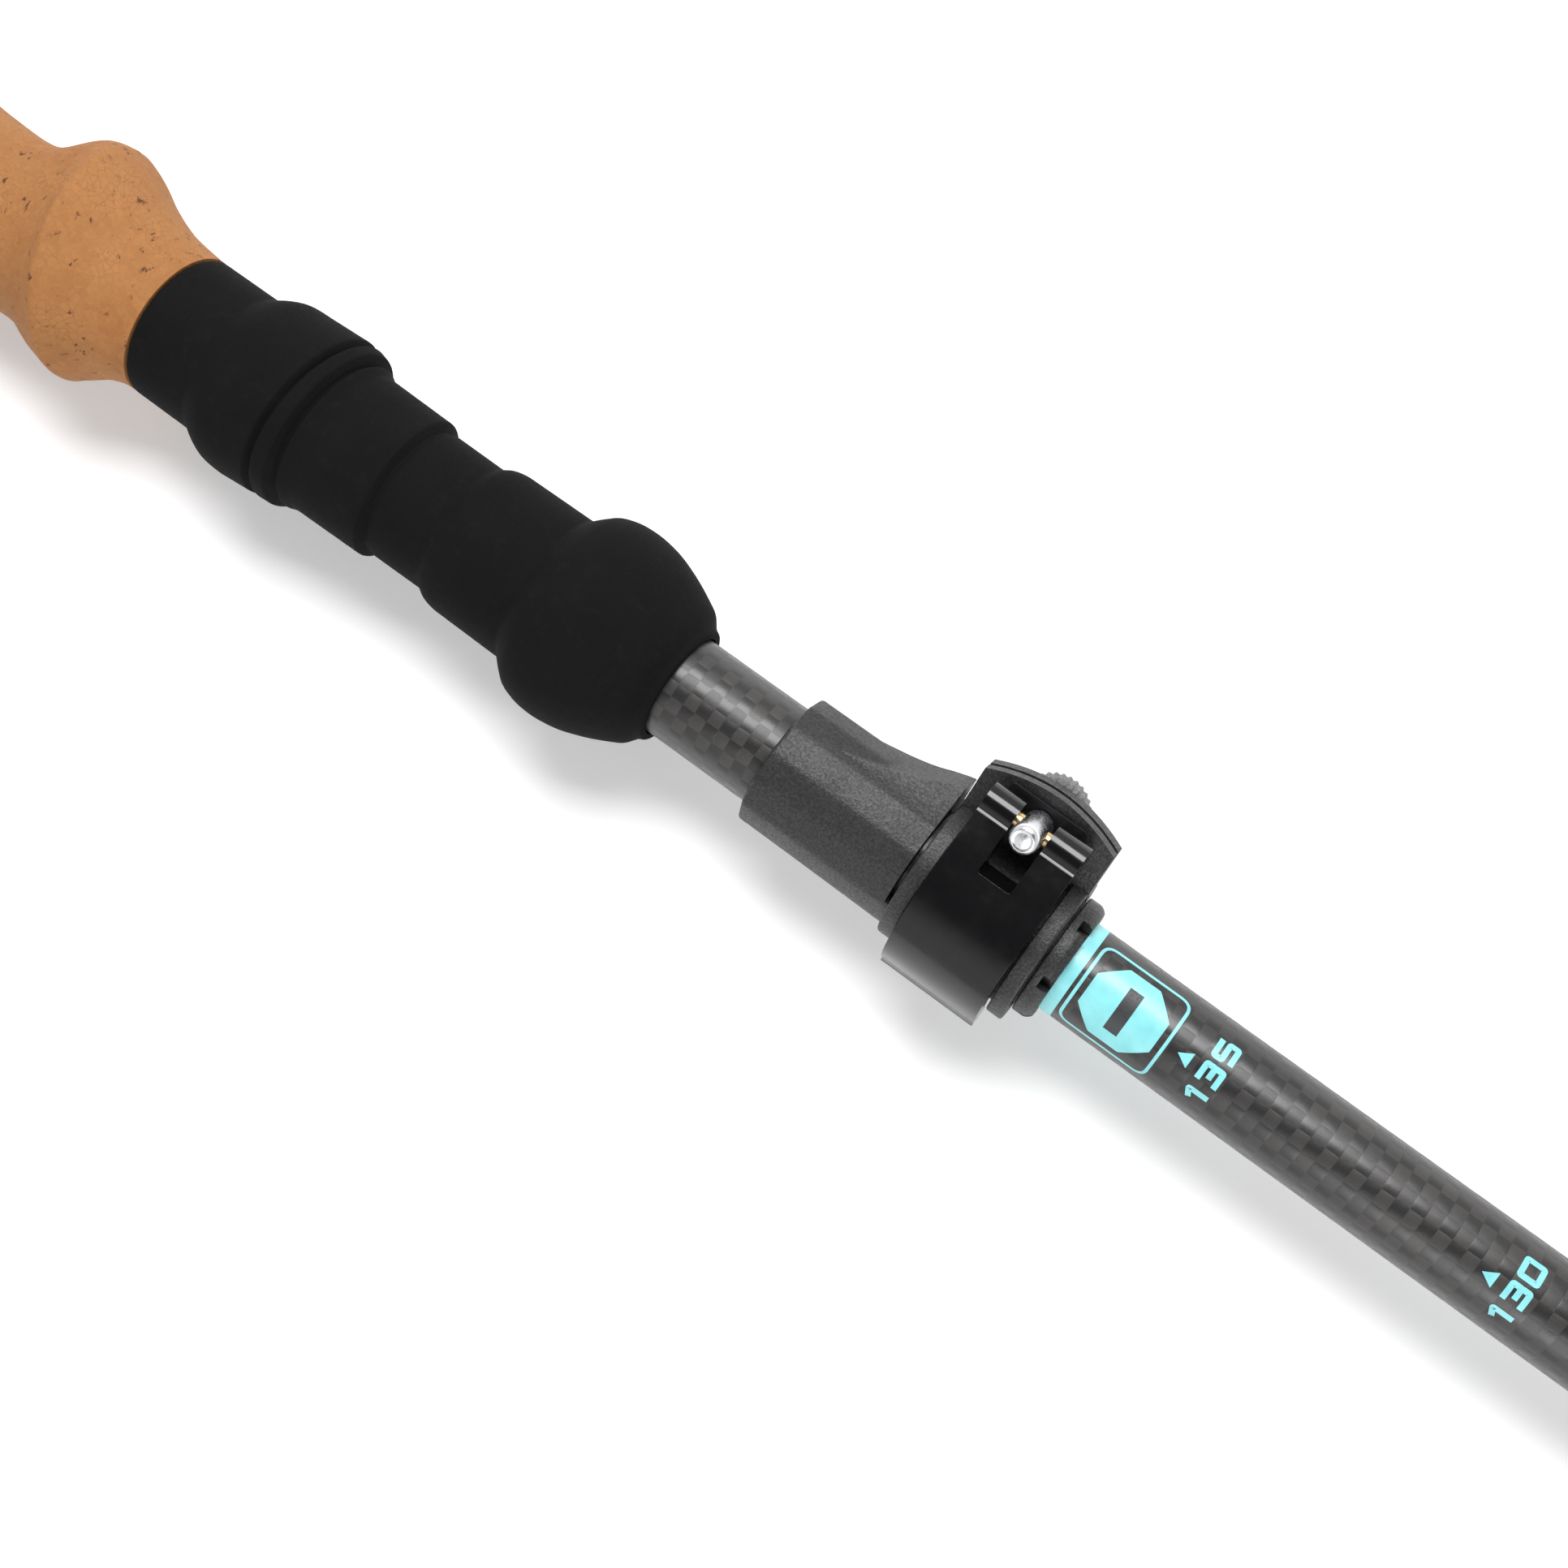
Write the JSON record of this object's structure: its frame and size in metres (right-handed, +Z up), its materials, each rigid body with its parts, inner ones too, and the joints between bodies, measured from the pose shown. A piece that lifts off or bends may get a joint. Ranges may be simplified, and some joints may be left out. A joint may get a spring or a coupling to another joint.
{
  "type": "trekking pole",
  "caption": "Three-section telescoping trekking pole with cork grip, foam extension, wrist strap, cam-lever locks, basket, carbide tip and rubber foot.",
  "frame": {"origin": "centre of the bounding box, on the surface the pole lies on", "axes": "+X along the pole from the grip to the foot, +Y to the grip's finger side, +Z up from the surface it lies on"},
  "size_m": [1.3869, 0.1895, 0.0372],
  "materials": {
    "cork": "granular cork, matte",
    "foam": "closed-cell EVA foam, matte",
    "carbon": "plain-weave carbon under clear lacquer, semi-gloss",
    "matte_plastic": "fine-grained moulding",
    "gloss_plastic": "polished black moulding",
    "grey_plastic": "grey moulding",
    "steel": "machined",
    "brass": "turned",
    "carbide": "sintered",
    "webbing": "woven webbing",
    "padding": "brushed lining",
    "rubber": "moulded, matte"
  },
  "bodies": {
    "handle": {"grip_head": "matte_plastic", "cap_disc": "grey_plastic", "cork_grip": "cork", "strap_pin": "steel", "wrist_strap": "webbing", "strap_pad": "padding", "foam_sleeve": "foam", "upper_tube": "carbon", "upper_tube_plug": "matte_plastic", "upper_lock_housing": "matte_plastic", "upper_collet": "matte_plastic", "upper_draw_bolt": "steel", "upper_lever_pin": "brass", "upper_saddle_plate": "steel"},
    "wedge": {"strap_wedge": "matte_plastic"},
    "upper_lever": {"upper_lock_lever": "gloss_plastic"},
    "upper_nut": {"upper_thumb_nut": "grey_plastic"},
    "middle_carrier": {"middle_bush": "grey_plastic"},
    "middle_section": {"middle_tube": "carbon", "lower_lock_housing": "matte_plastic", "lower_collet": "matte_plastic", "lower_draw_bolt": "steel", "lower_lever_pin": "brass", "lower_saddle_plate": "steel"},
    "lower_lever": {"lower_lock_lever": "gloss_plastic"},
    "lower_nut": {"lower_thumb_nut": "grey_plastic"},
    "lower_carrier": {"lower_bush": "grey_plastic"},
    "lower_section": {"lower_tube": "carbon", "tip_ferrule": "matte_plastic", "tip_holder": "steel", "carbide_tip": "carbide"},
    "basket_body": {"basket": "matte_plastic"},
    "foot": {"rubber_foot": "rubber"}
  },
  "joints": [
    {"name": "wedge_slide", "type": "slide", "parent": "handle", "child": "wedge", "axis": [0, -1, 0], "range_m": [0, 0.008]},
    {"name": "upper_lever_hinge", "type": "hinge", "parent": "handle", "child": "upper_lever", "pos_m": [-0.39377, 0.08588, 0.03121], "axis": [-1, 0, 0], "range_deg": [0, 150]},
    {"name": "upper_nut_turn", "type": "hinge", "parent": "handle", "child": "upper_nut", "pos_m": [-0.394, 0.09055, 0.02164], "axis": [0, -0.4384, 0.8988], "continuous": true},
    {"name": "middle_slide", "type": "slide", "parent": "handle", "child": "middle_carrier", "axis": [-1, 0, 0], "range_m": [0, 0.2]},
    {"name": "middle_turn", "type": "hinge", "parent": "middle_carrier", "child": "middle_section", "pos_m": [-0.2, 0.0735, 0.0185], "axis": [1, 0, 0], "continuous": true},
    {"name": "lower_lever_hinge", "type": "hinge", "parent": "middle_section", "child": "lower_lever", "pos_m": [0.14272, 0.08507, 0.03082], "axis": [-1, 0, 0], "range_deg": [0, 150]},
    {"name": "lower_nut_turn", "type": "hinge", "parent": "middle_section", "child": "lower_nut", "pos_m": [0.1425, 0.08974, 0.02125], "axis": [0, -0.4384, 0.8988], "continuous": true},
    {"name": "lower_slide", "type": "slide", "parent": "middle_section", "child": "lower_carrier", "axis": [-1, 0, 0], "range_m": [0, 0.4]},
    {"name": "lower_turn", "type": "hinge", "parent": "lower_carrier", "child": "lower_section", "pos_m": [0.35, 0.0735, 0.0185], "axis": [1, 0, 0], "continuous": true},
    {"name": "basket_turn", "type": "hinge", "parent": "lower_section", "child": "basket_body", "pos_m": [0.6045, 0.0735, 0.0185], "axis": [1, 0, 0], "continuous": true},
    {"name": "foot_slide", "type": "slide", "parent": "lower_section", "child": "foot", "axis": [1, 0, 0], "range_m": [0, 0.045]}
  ]
}
